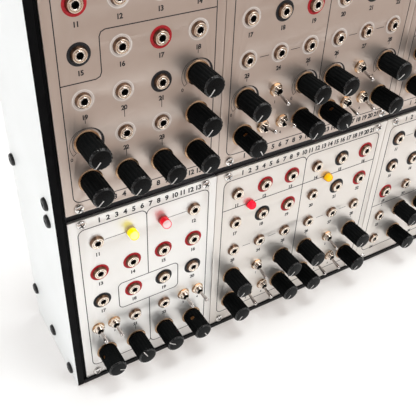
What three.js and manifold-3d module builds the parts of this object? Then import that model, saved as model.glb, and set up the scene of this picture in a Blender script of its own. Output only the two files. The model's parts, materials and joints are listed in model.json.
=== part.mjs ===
// Two-row modular synthesizer: six modules in a folded sheet case with two side cheeks.
// Millimetres. X runs to the right, Y into the case, Z up.
// The origin is the centre of the footprint that the case stands on.
import * as THREE from "three";
import { mergeVertices } from "three/addons/utils/BufferGeometryUtils.js";
import Module from "manifold-3d";

const wasm = await Module();
wasm.setup();

// Rack grid: the panel format that every module is made to
const pitchWidth = 5.08;
const panelHeight = 128.5;
const panelThickness = 2;
const panelSideClearance = 0.3;
const rowGap = 4.85;
const rowPitch = panelHeight + rowGap;
const controlColumnPitch = 4 * pitchWidth;
const firstColumn = 3 * pitchWidth;
const controlRows = 5;
const topControlInset = 18.4;
const bottomControlInset = 18.66;
const topControlHeight = panelHeight - topControlInset;
const controlRowPitch = (topControlHeight - bottomControlInset) / (controlRows - 1);

// Case
const caseFrontLip = 1;
const caseDepth = 73;
const sheet = 1.5;
const cheekThickness = 4;
const cheekCornerRadius = 1.5;
const cheekClearance = 0.3;
const panelToCheek = 2.3;
const rackToSheet = 2.5;
const flangeWidth = 25;
const flangeStart = 22;
const lipGap = 0.3;

// Rails
const railHeight = 10;
const railDepth = 16;
const railToPanelEdge = 3;
const railPanelGap = 0.3;
const railSlotWidth = 3.8;
const railLip = 1.6;
const railChannelWidth = 6;
const railChannelDepth = 3.2;
const railCoreRadius = 2;
const railCoreSetback = 8.2;
const railCornerRadius = 0.6;

// Screws
const panelScrewInset = 7.5;
const panelScrewHeadRadius = 2.75;
const panelScrewHeadHeight = 1.6;
const panelScrewShankRadius = 1.5;
const panelScrewLength = 4.4;
const screwCrownShare = 0.7;

// Circuit board behind each panel
const boardDepth = 11;
const boardThickness = 1.6;
const boardSideInset = 1.2;
const boardEndInset = 11;

// Jack socket
const jackNutRadius = 3.75;
const jackNutHeight = 2;
const jackBoreRadius = 1.75;

// Rotary control
const potWasherRadius = 6.3;
const potWasherHeight = 0.6;
const potBodySize = 10;
const potBoreDepth = 8.5;
const shaftRadius = 3;
const shaftClearance = 0.3;
const shaftEndGap = 0.8;
const knobRadius = 6;
const knobBaseGap = 0.6;
const knobLength = 16.2;
const knobChamfer = 0.9;
const pointerWidth = 0.9;
const pointerDepth = 0.4;
const pointerStart = 0.5;

// Toggle switch
const toggleNutRadius = 3.7;
const toggleNutHeight = 1.6;
const bushingRadius = 2.5;
const bushingHeight = 3.8;
const bushingWall = 0.45;
const bushingBoreDepth = 3;
const leverPivotDepth = 0.5;
const leverLength = 14;
const leverTipLength = 1.2;
const leverTipRadius = 1.25;
const leverTipShare = 0.75;
const leverNeckRadius = 0.75;
const leverNeckPlace = 4.5;
const leverBallRadius = 1.6;
const leverBallLength = 2.4;
const leverThrow = 13;
const toggleBodyWidth = 6.5;
const toggleBodyHeight = 11;
const togglePairShift = 1;
const togglePairSpacing = 10.4;
const closePairSpacing = 13;
const toggleRise = 0.7;
const closePairRise = 1.8;

// Lamp
const lampRadius = 2.5;
const lampLength = 6.5;
const lampDomeHeight = 2.2;
const lampCrownShare = 0.6;

// Power distribution inside the back of the case
const busWidth = 220;
const busHeight = 60;
const busStandoff = 6;
const busStandoffRadius = 2.5;
const busStandoffInset = 6;
const headerWidth = 22;
const headerHeight = 9;
const headerDepth = 9;
const headerCount = 6;
const inletRadius = 5.5;
const inletDepth = 11;
const inletFloor = 1.5;
const inletBoreRadius = 3.2;
const inletPinRadius = 1;
const inletPinSetback = 1.5;
const inletInset = 40;

// Facets
const roundSides = 8;
const smallSides = 6;
const knobSides = 12;
const cutOverrun = 1;

// Layouts, top row first. Each letter is one place on the control grid:
// o, r and k are jacks (plain, red ring, black ring), L is a lamp, K is a knob,
// t is one toggle, P a pair shifted to the middle, C a pair centred on its column.
// Knob angles are degrees clockwise from upright. Lever turns are 1 up, 0 level, -1 down.
const knobRest = -141;
const modules = [
  {
    name: "upper_left",
    widthUnits: 18,
    rack: 1,
    start: 0,
    rows: ["rooo", "koro", "ookK", "KooK", "KKKK"],
    knobAngles: { r3c4: -146, r4c4: -143, r5c1: -137 },
  },
  {
    name: "upper_middle",
    widthUnits: 26,
    rack: 1,
    start: 18,
    rows: ["orrokr", "okrokr", "oooooo", "KtKKtK", "KCKKCK"],
    betweenLamps: [0, 3],
    knobAngles: { r4c1: -145, r4c4: -136, r4c6: -132, r5c1: 150, r5c3: -150, r5c4: 148 },
    leverTurns: { r5c2: 1 },
  },
  {
    name: "upper_right",
    widthUnits: 18,
    rack: 1,
    start: 44,
    rows: ["oooo", "orko", "oooo", "K...", "K..."],
  },
  {
    name: "lower_left",
    widthUnits: 18,
    rack: 0,
    start: 0,
    rows: ["oLLo", "rrrr", "krkk", "PooP", "KKKK"],
    knobAngles: { r5c1: 120, r5c2: -27, r5c3: -55, r5c4: 150 },
    leverTurns: { r4c1: 0, r4c4: 0 },
  },
  {
    name: "lower_middle",
    widthUnits: 26,
    rack: 0,
    start: 18,
    rows: ["orrokr", "okrokr", "oooooo", "KtKKtK", "KCKKCK"],
    betweenLamps: [0, 3],
  },
  {
    name: "lower_right",
    widthUnits: 18,
    rack: 0,
    start: 44,
    rows: ["kkro", "kkkr", "rooo", "oKK.", "oKo."],
  },
];
const rackUnits = 62;
const rackWidth = rackUnits * pitchWidth;
const rackHeight = rowPitch + panelHeight;
const halfTurn = Math.PI;

// A closed geometry as a solid that can be joined and cut.
function solid(geometry) {
  geometry.deleteAttribute("normal");
  geometry.deleteAttribute("uv");
  const merged = mergeVertices(geometry);
  return new wasm.Manifold(
    new wasm.Mesh({
      numProp: 3,
      vertProperties: merged.attributes.position.array,
      triVerts: new Uint32Array(merged.index.array),
    }),
  );
}

// A solid back as a geometry, for a mesh.
function geometryOf(shape) {
  const mesh = shape.getMesh();
  const geometry = new THREE.BufferGeometry();
  const positions = new Float32Array(mesh.numVert * 3);
  for (let i = 0; i < mesh.numVert; i++) {
    const from = i * mesh.numProp;
    positions.set(mesh.vertProperties.subarray(from, from + 3), i * 3);
  }
  geometry.setAttribute("position", new THREE.BufferAttribute(positions, 3));
  geometry.setIndex(new THREE.BufferAttribute(mesh.triVerts, 1));
  const flat = geometry.toNonIndexed();
  flat.computeVertexNormals();
  return flat;
}

// A block between two corners.
function block(low, high) {
  const size = high.map((value, axis) => value - low[axis]);
  const centre = high.map((value, axis) => (value + low[axis]) / 2);
  return solid(new THREE.BoxGeometry(...size).translate(...centre));
}

// A form turned about a line along Y. Each profile point is a radius and a depth.
function turned(profile, sides, x = 0, z = 0) {
  const points = profile.map(([radius, depth]) => new THREE.Vector2(radius, depth));
  return solid(new THREE.LatheGeometry(points, sides).translate(x, 0, z));
}

function cylinder(radius, front, back, x, z, sides = roundSides) {
  return turned([[0, front], [radius, front], [radius, back], [0, back]], sides, x, z);
}

// An outline in the Y-Z plane, extruded along X from one place to another.
function alongX(shape, from, to) {
  const geometry = new THREE.ExtrudeGeometry(shape, {
    depth: to - from,
    bevelEnabled: false,
    curveSegments: 1,
  });
  const axes = new THREE.Matrix4().makeBasis(
    new THREE.Vector3(0, 1, 0),
    new THREE.Vector3(0, 0, 1),
    new THREE.Vector3(1, 0, 0),
  );
  return solid(geometry.applyMatrix4(axes).translate(from, 0, 0));
}

function roundedRectangle(y0, z0, y1, z1, radius) {
  const shape = new THREE.Shape();
  shape.moveTo(y0 + radius, z0);
  shape.lineTo(y1 - radius, z0);
  shape.absarc(y1 - radius, z0 + radius, radius, -halfTurn / 2, 0);
  shape.lineTo(y1, z1 - radius);
  shape.absarc(y1 - radius, z1 - radius, radius, 0, halfTurn / 2);
  shape.lineTo(y0 + radius, z1);
  shape.absarc(y0 + radius, z1 - radius, radius, halfTurn / 2, halfTurn);
  shape.lineTo(y0, z0 + radius);
  shape.absarc(y0 + radius, z0 + radius, radius, halfTurn, 1.5 * halfTurn);
  return shape;
}

function joined(shapes) {
  return shapes.reduce((sum, shape) => sum.add(shape));
}

// Places that the case, rails and cheeks share
const caseFront = -caseFrontLip;
const caseBack = caseFront + caseDepth;
const caseBottom = -rackToSheet - sheet;
const caseTop = rackHeight + rackToSheet + sheet;
const cheekInner = -panelToCheek;
const shellEnd = cheekInner + cheekClearance;
const railFront = panelThickness + railPanelGap;
const railLines = [
  railToPanelEdge,
  panelHeight - railToPanelEdge,
  rowPitch + railToPanelEdge,
  rowPitch + panelHeight - railToPanelEdge,
];

// The bore clears the round that the shaft sweeps, also at the middle of its flats.
const shaftBoreRadius = (shaftRadius + shaftClearance) / Math.cos(halfTurn / smallSides);

// Where a column or a row of the control grid lies on its own panel
function columnPlace(column) {
  return firstColumn + column * controlColumnPitch;
}

function rowPlace(row) {
  return topControlHeight - row * controlRowPitch;
}

// Folded sheet tub: bottom, back and top in one sheet, front lips, side flanges,
// with the power distribution board on its standoffs and the power inlet.
function caseShell() {
  const left = shellEnd;
  const right = rackWidth - shellEnd;
  const innerBack = caseBack - sheet;
  const profile = new THREE.Shape();
  profile.moveTo(caseFront, caseBottom);
  profile.lineTo(caseBack, caseBottom);
  profile.lineTo(caseBack, caseTop);
  profile.lineTo(caseFront, caseTop);
  profile.lineTo(caseFront, rackHeight + lipGap);
  profile.lineTo(caseFront + sheet, rackHeight + lipGap);
  profile.lineTo(caseFront + sheet, caseTop - sheet);
  profile.lineTo(innerBack, caseTop - sheet);
  profile.lineTo(innerBack, caseBottom + sheet);
  profile.lineTo(caseFront + sheet, caseBottom + sheet);
  profile.lineTo(caseFront + sheet, -lipGap);
  profile.lineTo(caseFront, -lipGap);
  const flange = new THREE.Shape();
  const overlap = sheet / 2;
  flange.moveTo(flangeStart, caseBottom + overlap);
  flange.lineTo(caseBack - overlap, caseBottom + overlap);
  flange.lineTo(caseBack - overlap, caseTop - overlap);
  flange.lineTo(flangeStart, caseTop - overlap);
  flange.lineTo(flangeStart, caseTop - flangeWidth);
  flange.lineTo(caseBack - flangeWidth, caseTop - flangeWidth);
  flange.lineTo(caseBack - flangeWidth, caseBottom + flangeWidth);
  flange.lineTo(flangeStart, caseBottom + flangeWidth);
  const shell = joined([
    alongX(profile, left, right),
    alongX(flange, left, left + sheet),
    alongX(flange, right - sheet, right),
    powerBoard(innerBack),
  ]);
  return withPowerInlet(shell);
}

function powerBoard(innerBack) {
  const boardBack = innerBack - busStandoff;
  const boardFront = boardBack - boardThickness;
  const left = (rackWidth - busWidth) / 2;
  const right = left + busWidth;
  const low = (rackHeight - busHeight) / 2;
  const high = low + busHeight;
  const pieces = [block([left, boardFront, low], [right, boardBack, high])];
  for (const x of [left + busStandoffInset, right - busStandoffInset]) {
    for (const z of [low + busStandoffInset, high - busStandoffInset]) {
      pieces.push(
        cylinder(
          busStandoffRadius,
          boardBack - boardThickness / 2,
          innerBack + sheet / 2,
          x,
          z,
          smallSides,
        ),
      );
    }
  }
  const step = busWidth / headerCount;
  for (let i = 0; i < headerCount; i++) {
    const middle = left + (i + 0.5) * step;
    const z = (low + high) / 2;
    pieces.push(
      block(
        [middle - headerWidth / 2, boardFront - headerDepth, z - headerHeight / 2],
        [middle + headerWidth / 2, boardFront + boardThickness / 2, z + headerHeight / 2],
      ),
    );
  }
  return joined(pieces);
}

// Barrel socket for the power supply: a blind bore in the back with a contact pin in it
function withPowerInlet(shell) {
  const x = rackWidth - inletInset;
  const z = inletInset;
  const front = caseBack - inletDepth;
  const floor = front + inletFloor;
  const body = cylinder(inletRadius, front, caseBack - sheet / 2, x, z);
  const bore = cylinder(inletBoreRadius, floor, caseBack + cutOverrun, x, z);
  const pin = cylinder(inletPinRadius, front + inletFloor / 2, caseBack - inletPinSetback, x, z, smallSides);
  return shell.add(body).subtract(bore).add(pin);
}

// One extrusion: a slot for the panel screws at each line, and a round core for the end screw.
function rail(lines) {
  const low = Math.min(...lines) - railHeight / 2;
  const high = Math.max(...lines) + railHeight / 2;
  const back = railFront + railDepth;
  const outline = roundedRectangle(railFront, low, back, high, railCornerRadius);
  const bar = alongX(outline, shellEnd, rackWidth - shellEnd);
  const from = shellEnd - cutOverrun;
  const to = rackWidth - shellEnd + cutOverrun;
  const centre = (from + to) / 2;
  const lipBack = railFront + railLip;
  const channelBack = lipBack + railChannelDepth;
  return lines.reduce((shape, line) => {
    const mouth = railSlotWidth / 2;
    const channel = railChannelWidth / 2;
    const core = new THREE.CylinderGeometry(railCoreRadius, railCoreRadius, to - from, roundSides);
    core.rotateZ(halfTurn / 2).translate(centre, railFront + railCoreSetback, line);
    return shape
      .subtract(block([from, railFront - cutOverrun, line - mouth], [to, channelBack, line + mouth]))
      .subtract(block([from, lipBack, line - channel], [to, channelBack, line + channel]))
      .subtract(solid(core));
  }, bar);
}

// Flat side cheek. side is -1 for the left one and 1 for the right one.
function cheek(side) {
  const inner = side < 0 ? cheekInner : rackWidth - cheekInner;
  const outer = inner + side * cheekThickness;
  const outline = roundedRectangle(caseFront, caseBottom, caseBack, caseTop, cheekCornerRadius);
  return alongX(outline, Math.min(inner, outer), Math.max(inner, outer));
}

// Module front: panel, jack sockets, nuts, lamps, screws and the board behind it.
function moduleFront(spec) {
  const width = spec.widthUnits * pitchWidth - panelSideClearance;
  const board = block(
    [boardSideInset, boardDepth, boardEndInset],
    [width - boardSideInset, boardDepth + boardThickness, panelHeight - boardEndInset],
  );
  const pieces = [block([0, 0, 0], [width, panelThickness, panelHeight]), board];
  const bores = [];
  for (const place of places(spec)) {
    const made = fittings[place.kind](place.x, place.z);
    pieces.push(...made.pieces);
    bores.push(...made.bores);
  }
  for (const x of [panelScrewInset, screwFarPlace(spec.widthUnits)]) {
    for (const z of [railToPanelEdge, panelHeight - railToPanelEdge]) {
      pieces.push(panelScrew(x, z));
    }
  }
  return bores.reduce((shape, bore) => shape.subtract(bore), joined(pieces));
}

function screwFarPlace(widthUnits) {
  return panelScrewInset + (widthUnits - 3) * pitchWidth;
}

// What stands at each place of a module's layout
function places(spec) {
  const list = [];
  spec.rows.forEach((letters, row) => {
    [...letters].forEach((letter, column) => {
      const label = "r" + (row + 1) + "c" + (column + 1);
      const x = columnPlace(column);
      const z = rowPlace(row);
      if ("ork".includes(letter)) list.push({ kind: "jack", label, x, z });
      if (letter === "L") list.push({ kind: "lamp", label, x, z });
      if (letter === "K") list.push({ kind: "pot", label, x, z });
      if (letter === "t") list.push({ kind: "toggle", label, x, z: z + toggleRise });
      if (letter === "P") {
        const inward = column === 0 ? togglePairShift : -togglePairShift;
        list.push(...pair(label, x + inward, z + toggleRise, togglePairSpacing));
      }
      if (letter === "C") list.push(...pair(label, x, z + closePairRise, closePairSpacing));
    });
  });
  for (const column of spec.betweenLamps ?? []) {
    const x = columnPlace(column) + controlColumnPitch / 2;
    const z = rowPlace(0) - controlRowPitch / 2;
    list.push({ kind: "lamp", label: "between" + (column + 1), x, z });
  }
  return list;
}

function pair(label, x, z, spacing) {
  return [
    { kind: "toggle", label: label + "_left", base: label, x: x - spacing / 2, z },
    { kind: "toggle", label: label + "_right", base: label, x: x + spacing / 2, z },
  ];
}

// A square body between the panel and the board
function bodyBehind(x, z, width, height) {
  return block(
    [x - width / 2, panelThickness / 2, z - height / 2],
    [x + width / 2, boardDepth + boardThickness / 2, z + height / 2],
  );
}

const fittings = {
  jack(x, z) {
    const front = -jackNutHeight;
    const back = panelThickness + cutOverrun;
    return {
      pieces: [cylinder(jackNutRadius, front, panelThickness / 2, x, z)],
      bores: [cylinder(jackBoreRadius, front - cutOverrun, back, x, z, smallSides)],
    };
  },
  pot(x, z) {
    const front = -potWasherHeight;
    return {
      pieces: [
        cylinder(potWasherRadius, front, panelThickness / 2, x, z),
        bodyBehind(x, z, potBodySize, potBodySize),
      ],
      bores: [cylinder(shaftBoreRadius, front - cutOverrun, potBoreDepth, x, z, smallSides)],
    };
  },
  toggle(x, z) {
    const front = -bushingHeight;
    return {
      pieces: [
        cylinder(toggleNutRadius, -toggleNutHeight, panelThickness / 2, x, z, smallSides),
        cylinder(bushingRadius, front, panelThickness / 2, x, z),
        bodyBehind(x, z, toggleBodyWidth, toggleBodyHeight),
      ],
      bores: [
        cylinder(bushingRadius - bushingWall, front - cutOverrun, bushingBoreDepth, x, z, smallSides),
      ],
    };
  },
  lamp(x, z) {
    const profile = [
      [0, -lampLength],
      [lampRadius * lampCrownShare, -lampLength],
      [lampRadius, lampDomeHeight - lampLength],
      [lampRadius, panelThickness / 2],
      [0, panelThickness / 2],
    ];
    return { pieces: [turned(profile, roundSides, x, z)], bores: [] };
  },
};

function panelScrew(x, z) {
  const seat = panelThickness / 2;
  const profile = [
    [0, -panelScrewHeadHeight],
    [panelScrewHeadRadius * screwCrownShare, -panelScrewHeadHeight],
    [panelScrewHeadRadius, seat],
    [0, seat],
  ];
  const shank = cylinder(panelScrewShankRadius, seat, seat + panelScrewLength, x, z, smallSides);
  return turned(profile, roundSides, x, z).add(shank);
}

// Knob on its shaft, pointer up
function knob() {
  const base = -potWasherHeight - knobBaseGap;
  const tip = base - knobLength;
  const profile = [
    [0, tip],
    [knobRadius - knobChamfer, tip],
    [knobRadius, tip + knobChamfer],
    [knobRadius, base],
    [0, base],
  ];
  const shaft = cylinder(shaftRadius, base - knobChamfer, potBoreDepth - shaftEndGap, 0, 0, smallSides);
  const pointer = block(
    [-pointerWidth / 2, tip - cutOverrun, pointerStart],
    [pointerWidth / 2, tip + pointerDepth, knobRadius + cutOverrun],
  );
  return turned(profile, knobSides).add(shaft).subtract(pointer);
}

// Bat lever about its pivot, straight out
function lever() {
  const profile = [
    [0, -leverLength],
    [leverTipRadius * leverTipShare, -leverLength],
    [leverTipRadius, leverTipLength - leverLength],
    [leverNeckRadius, -leverNeckPlace],
    [leverBallRadius, -leverBallLength / 2],
    [leverBallRadius, leverBallLength / 2],
    [0, leverBallLength / 2],
  ];
  return turned(profile, roundSides);
}

// Colours of the finishes
function finish(color, roughness, metalness = 0) {
  return new THREE.MeshStandardMaterial({ color, roughness, metalness });
}

const finishes = {
  sheetMetal: finish(0x17181a, 0.6, 0.3),
  cheek: finish(0xf2f2f0, 0.45),
  rail: finish(0x1c1d1f, 0.5, 0.6),
  panel: finish(0xdcd9d5, 0.4, 0.7),
  knob: finish(0x141518, 0.45),
  lever: finish(0xc9c2b8, 0.25, 1),
};

function mesh(name, shape, material) {
  const made = new THREE.Mesh(geometryOf(shape), material);
  made.name = name;
  return made;
}

// The rack stands on the origin: its own zero is the lower left corner of the first panel.
const synthesizer = new THREE.Group();
const rack = new THREE.Group();
rack.position.set(-rackWidth / 2, -(caseFront + caseBack) / 2, -caseBottom);
synthesizer.add(rack);

rack.add(mesh("case_shell", caseShell(), finishes.sheetMetal));
rack.add(mesh("left_cheek", cheek(-1), finishes.cheek));
rack.add(mesh("right_cheek", cheek(1), finishes.cheek));
rack.add(mesh("lower_rail", rail([railLines[0]]), finishes.rail));
rack.add(mesh("middle_rail", rail([railLines[1], railLines[2]]), finishes.rail));
rack.add(mesh("upper_rail", rail([railLines[3]]), finishes.rail));

const knobShape = knob();
const leverShape = lever();
for (const spec of modules) {
  const module = new THREE.Group();
  module.position.set(
    spec.start * pitchWidth + panelSideClearance / 2,
    0,
    spec.rack * rowPitch,
  );
  rack.add(module);
  module.add(mesh(spec.name + "_module", moduleFront(spec), finishes.panel));
  for (const place of places(spec)) {
    if (place.kind === "pot") {
      const turn = spec.knobAngles?.[place.label] ?? knobRest;
      const made = mesh(spec.name + "_knob_" + place.label, knobShape, finishes.knob);
      made.position.set(place.x, 0, place.z);
      made.rotation.y = THREE.MathUtils.degToRad(turn);
      module.add(made);
    }
    if (place.kind === "toggle") {
      const turn = spec.leverTurns?.[place.base ?? place.label] ?? -1;
      const made = mesh(spec.name + "_toggle_" + place.label, leverShape, finishes.lever);
      made.position.set(place.x, leverPivotDepth, place.z);
      made.rotation.x = THREE.MathUtils.degToRad(-turn * leverThrow);
      module.add(made);
    }
  }
}

export default synthesizer;
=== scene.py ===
# %% [markdown]
# # A two-row modular synthesizer, dressed for its portrait
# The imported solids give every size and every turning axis. This lesson puts real surfaces over them:
# turned metal fittings, fluted knobs, printed aluminium fronts and a folded sheet case.
# Everything is in metres, in the frame of the solids, so each piece lands where its solid is.

# %% Load the solids
import json
from functools import cache
from math import cos, pi, radians, sin, tan

import bmesh
import bpy
from mathutils import Matrix, Quaternion, Vector


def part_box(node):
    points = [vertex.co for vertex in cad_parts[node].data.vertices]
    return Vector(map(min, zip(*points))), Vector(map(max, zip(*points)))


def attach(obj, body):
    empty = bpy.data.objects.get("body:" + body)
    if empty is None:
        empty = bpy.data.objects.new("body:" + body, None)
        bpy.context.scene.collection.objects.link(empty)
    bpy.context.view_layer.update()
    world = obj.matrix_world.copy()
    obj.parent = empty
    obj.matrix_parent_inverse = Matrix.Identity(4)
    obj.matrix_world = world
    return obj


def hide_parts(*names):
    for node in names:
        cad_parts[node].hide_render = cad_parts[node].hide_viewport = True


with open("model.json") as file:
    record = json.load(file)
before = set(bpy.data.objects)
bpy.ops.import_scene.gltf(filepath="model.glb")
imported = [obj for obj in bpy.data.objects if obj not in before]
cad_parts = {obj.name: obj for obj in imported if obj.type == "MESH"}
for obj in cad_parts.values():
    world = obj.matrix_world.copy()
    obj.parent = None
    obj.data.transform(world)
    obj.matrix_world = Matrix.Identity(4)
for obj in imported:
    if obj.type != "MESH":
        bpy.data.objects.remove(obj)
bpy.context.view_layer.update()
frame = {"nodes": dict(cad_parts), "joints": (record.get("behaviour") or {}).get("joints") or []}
MM = 0.001

# %% [markdown]
# ## The camera
# The photograph looks down from the upper left, close to the case, with a slight roll of the hand.
# A camera could be aimed with a constraint, but a place, a direction and a roll angle say it all,
# and they can be read again later.

# %% Camera
CAMERA_PLACE = Vector((-233.21, -290.07, 353.92)) * MM
CAMERA_LOOK = Vector((0.41779, 0.65719, -0.62734))
CAMERA_ROLL = radians(2.58)
CAMERA_LENS = 56.53

camera_data = bpy.data.cameras.new("portrait_camera")
camera_data.lens = CAMERA_LENS
camera_data.clip_start = 10 * MM
camera = bpy.data.objects.new("portrait_camera", camera_data)
bpy.context.scene.collection.objects.link(camera)
camera.rotation_mode = "QUATERNION"
camera.location = CAMERA_PLACE
camera.rotation_quaternion = CAMERA_LOOK.to_track_quat("-Z", "Y") @ Quaternion((0, 0, 1), CAMERA_ROLL)
bpy.context.scene.camera = camera
print("camera height in mm:", round(camera.location.z / MM, 1))

# %% [markdown]
# ## Where the fronts are
# All six fronts lie in one plane, a sheet's lip behind the front edge of the case. Each front has
# its own zero in its lower left corner, and its controls stand on one grid: columns four units of
# 5.08 mm apart, five rows of even spacing. Working in that grid keeps every number a real one.

# %% The fronts and their grid
UNIT = 5.08
FRONT_HEIGHT = 128.5
FRONT_THICKNESS = 2.0
SIDE_CLEARANCE = 0.3
LIP = 1.0
TOP_INSET, BOTTOM_INSET = 18.4, 18.66
FIRST_COLUMN = 3 * UNIT
COLUMN_STEP = 4 * UNIT
TOP_ROW = FRONT_HEIGHT - TOP_INSET
ROW_STEP = (TOP_ROW - BOTTOM_INSET) / 4
FRONT_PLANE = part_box("case_shell")[0].y + LIP * MM

# Rows from the top. o, r and k are sockets with a plain, red or black ring. Y and R are lamps.
SOCKET_LAYOUT = {
    "upper_left": ["rooo", "koro", "ook.", ".oo.", "...."],
    "upper_middle": ["orrokr", "okrokr", "oooooo", "......", "......"],
    "upper_right": ["oooo", "orko", "oooo", "....", "...."],
    "lower_left": ["oYRo", "rrrr", "krkk", ".oo.", "...."],
    "lower_middle": ["orrokr", "okrokr", "oooooo", "......", "......"],
    "lower_right": ["kkro", "kkkr", "rooo", "o...", "o.o."],
}
MODULES = list(SOCKET_LAYOUT)


def column(number):
    return FIRST_COLUMN + number * COLUMN_STEP


def row(number):
    return TOP_ROW - number * ROW_STEP


def corner(module):
    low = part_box(module + "_module")[0]
    return Vector((low.x, FRONT_PLANE, low.z))


def units(module):
    return 26 if "middle" in module else 18


def width(module):
    return units(module) * UNIT - SIDE_CLEARANCE


def letters(module, wanted):
    """The places, in mm on the front, of every letter of the layout that is wanted."""
    return [
        (column(c), row(r), letter)
        for r, line in enumerate(SOCKET_LAYOUT[module])
        for c, letter in enumerate(line)
        if letter in wanted
    ]


def jointed(module, kind):
    """The joints of a front's knobs or toggles, with their places on the front in mm."""
    found = []
    for joint in frame["joints"]:
        if joint["child"].startswith(module + "_" + kind):
            place = (Vector(joint["pos_m"]) - corner(module)) / MM
            found.append((joint, place.x, place.z))
    return found


for name in MODULES:
    print(name, "sockets", len(letters(name, "ork")), "knobs", len(jointed(name, "knob")),
          "toggles", len(jointed(name, "toggle")))

# %% [markdown]
# ## A small workshop
# Most fittings here are turned on a lathe, so most of them are profiles swung about a line. Blender
# has a Screw modifier and a Spin operator for that. A few lines of bmesh do the same and leave
# closed, clean rings of faces whose finish can change from band to band.

# %% The lathe
def lathe(bm, profile, sides, finish=0, at=(0.0, 0.0), closed=False, shape=None):
    """Swings (radius, depth) points in mm about a line along Y. shape may bend a ring."""
    rings = []
    for radius, depth in profile:
        ring = []
        for step in range(1 if radius == 0 else sides):
            angle = 2 * pi * step / sides
            r, d = shape(angle, radius, depth) if shape and radius else (radius, depth)
            x, z = at[0] + r * sin(angle), at[1] + r * cos(angle)
            ring.append(bm.verts.new((x * MM, d * MM, z * MM)))
        rings.append(ring)
    pairs = list(zip(rings, rings[1:])) + ([(rings[-1], rings[0])] if closed else [])
    for near, far in pairs:
        for step in range(sides):
            after = (step + 1) % sides
            sides_of_face = (near, step), (near, after), (far, after), (far, step)
            corners = list(dict.fromkeys(ring[place % len(ring)] for ring, place in sides_of_face))
            if len(corners) > 2:
                face = bm.faces.new(corners)
                face.material_index = finish
    return rings


def brick(bm, low, high, finish=0, rounded_by=0.0, segments=2):
    """A block between two corners in mm, with its edges rounded by some tenths of a millimetre."""
    size = Vector(high) - Vector(low)
    made = bmesh.ops.create_cube(bm, size=1.0)["verts"]
    middle = (Vector(high) + Vector(low)) / 2
    bmesh.ops.scale(bm, vec=size * MM, verts=made)
    bmesh.ops.translate(bm, vec=middle * MM, verts=made)
    for corner_vert in made:
        for face in corner_vert.link_faces:
            face.material_index = finish
    if rounded_by:
        edges = list(dict.fromkeys(e for v in made for e in v.link_edges))
        bmesh.ops.bevel(bm, geom=edges, offset=rounded_by * MM, segments=segments, affect="EDGES",
                        clamp_overlap=True)


def linked(name, data):
    """A new object in the scene."""
    made = bpy.data.objects.new(name, data)
    bpy.context.scene.collection.objects.link(made)
    return made


def evaluated(made):
    """The mesh of an object with its curves and modifiers worked out."""
    bpy.context.view_layer.update()
    return bpy.data.meshes.new_from_object(made.evaluated_get(bpy.context.evaluated_depsgraph_get()))


def to_mesh(bm, name, finishes, sharp=35):
    bmesh.ops.recalc_face_normals(bm, faces=bm.faces)
    mesh = bpy.data.meshes.new(name)
    bm.to_mesh(mesh)
    bm.free()
    for finish in finishes:
        mesh.materials.append(finish)
    mesh.shade_smooth()
    mesh.set_sharp_from_angle(angle=radians(sharp))
    return mesh


def turned(name, profile, sides, finishes, sharp=35):
    """The mesh of one lathe form."""
    bm = bmesh.new()
    lathe(bm, profile, sides)
    return to_mesh(bm, name, finishes, sharp)


def piece(name, mesh, body="case", matrix=None):
    """An object of the mesh that rides on a body of the part."""
    made = linked(name, mesh)
    if matrix is not None:
        made.matrix_world = matrix
    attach(made, body)
    return made


def gathered(name, pattern, places):
    """One piece of many copies of a pattern mesh, at the places given as matrices."""
    bm = bmesh.new()
    for place in places:
        first = len(bm.verts)
        bm.from_mesh(pattern)
        bm.verts.ensure_lookup_table()
        bmesh.ops.transform(bm, matrix=place, verts=bm.verts[first:])
    piece(name, to_mesh(bm, name, pattern.materials))


def on_front(module, x, z, depth=0.0):
    return Matrix.Translation(corner(module) + Vector((x, depth, z)) * MM)


def places_of(module, kind):
    return [on_front(module, x, z) for _, x, z in jointed(module, kind)]


def on_joints(kind, shown, pattern, axis, depth=None):
    """A piece on every joint of a kind, turned to the middle of the joint's range."""
    count = 0
    for joint in frame["joints"]:
        child = joint["child"]
        if f"_{kind}_" in child:
            place = Vector(joint["pos_m"])
            if depth is not None:
                place.y = depth
            turn = Matrix.Rotation(radians(sum(joint["range_deg"]) / 2), 4, axis)
            name = child.replace(kind, shown)
            made = piece(name, pattern, child, Matrix.Translation(place) @ turn)
            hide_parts(child)
            count += 1
    print(shown, "pieces:", count, "faces of one:", len(pattern.polygons))


# %% [markdown]
# ## Finishes
# A real finish is never one flat number: anodising has grain, nickel has polish marks, powder coat
# has orange peel. One helper lays three noises of different size into colour, roughness and bump,
# and each finish then says how strong each one is. Noise needs no pictures and no unwrapping.

# %% A finish with grain
def new_nodes(name):
    material = bpy.data.materials.new(name)
    material.use_nodes = True
    nodes, links = material.node_tree.nodes, material.node_tree.links
    return material, nodes, links, nodes["Principled BSDF"]


def added(nodes, links, kind, inputs, output=0, **settings):
    """A new node with its settings and inputs, which are values or the outputs of other nodes."""
    made = nodes.new("ShaderNode" + kind)
    for setting, value in settings.items():
        setattr(made, setting, value)
    for name, value in inputs.items():
        if isinstance(value, bpy.types.NodeSocket):
            links.new(value, made.inputs[name])
        else:
            made.inputs[name].default_value = value
    return made.outputs[output]


def stretched_noise(nodes, links, scale, stretch=(1, 1, 1)):
    """Noise in the part's own frame. scale is in marks per metre, stretch makes them long."""
    place = added(nodes, links, "TexCoord", {}, "Object")
    mapping = added(nodes, links, "Mapping", {"Vector": place, "Scale": stretch})
    return added(nodes, links, "TexNoise", {"Vector": mapping, "Scale": scale, "Detail": 3.0}, "Fac")


def mapped(nodes, links, value, from_low, from_high, low=0.0, high=1.0):
    """Takes a value from one range to another."""
    ends = {"From Min": from_low, "From Max": from_high, "To Min": low, "To Max": high}
    return added(nodes, links, "MapRange", {"Value": value, **ends})


def spread(nodes, links, value, low, high):
    """Takes noise to a range of values."""
    return mapped(nodes, links, value, 0.3, 0.7, low, high)


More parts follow.
